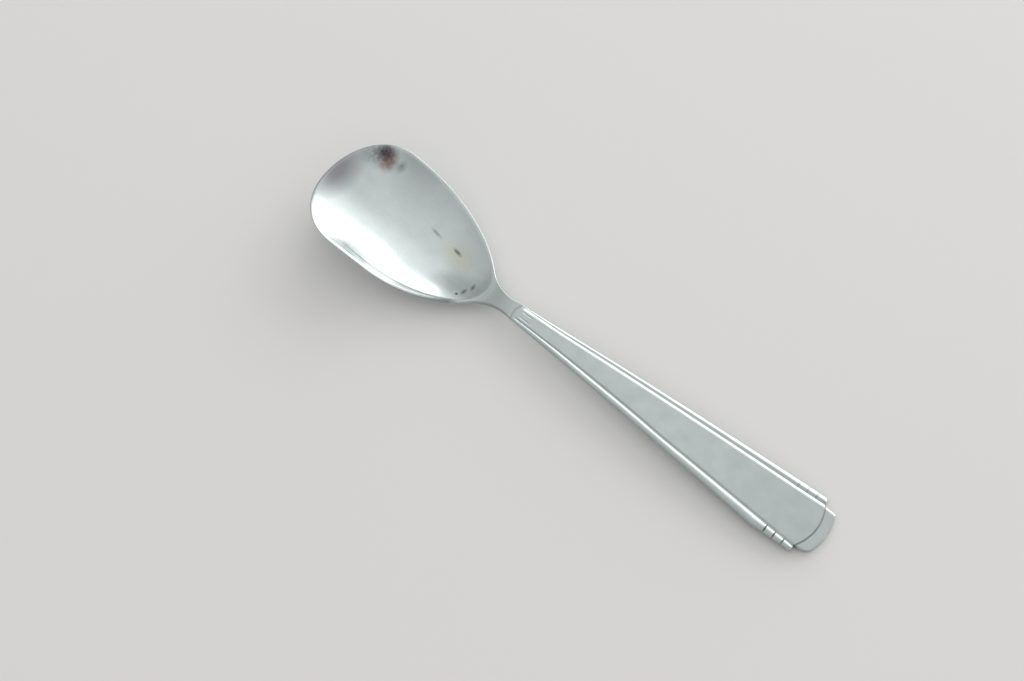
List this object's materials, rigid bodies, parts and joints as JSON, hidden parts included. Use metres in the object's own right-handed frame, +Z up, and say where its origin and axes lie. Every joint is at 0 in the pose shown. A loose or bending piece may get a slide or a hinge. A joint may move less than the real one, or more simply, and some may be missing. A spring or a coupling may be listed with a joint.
{
  "type": "jam spoon",
  "caption": "Small jam spoon in satin metal: a wide oval bowl, a slim neck and a tapered flat handle with a raised middle panel between half-round beads.",
  "frame": {"origin": "on the table, under the middle of the spoon's length and width", "axes": "+X from the bowl to the end of the handle, +Z up out of the bowl"},
  "size_m": [0.145, 0.0304, 0.0102],
  "materials": {
    "metal": "satin, softly brushed, with light wear"
  },
  "bodies": {
    "root": {"spoon": "metal"}
  },
  "joints": []
}
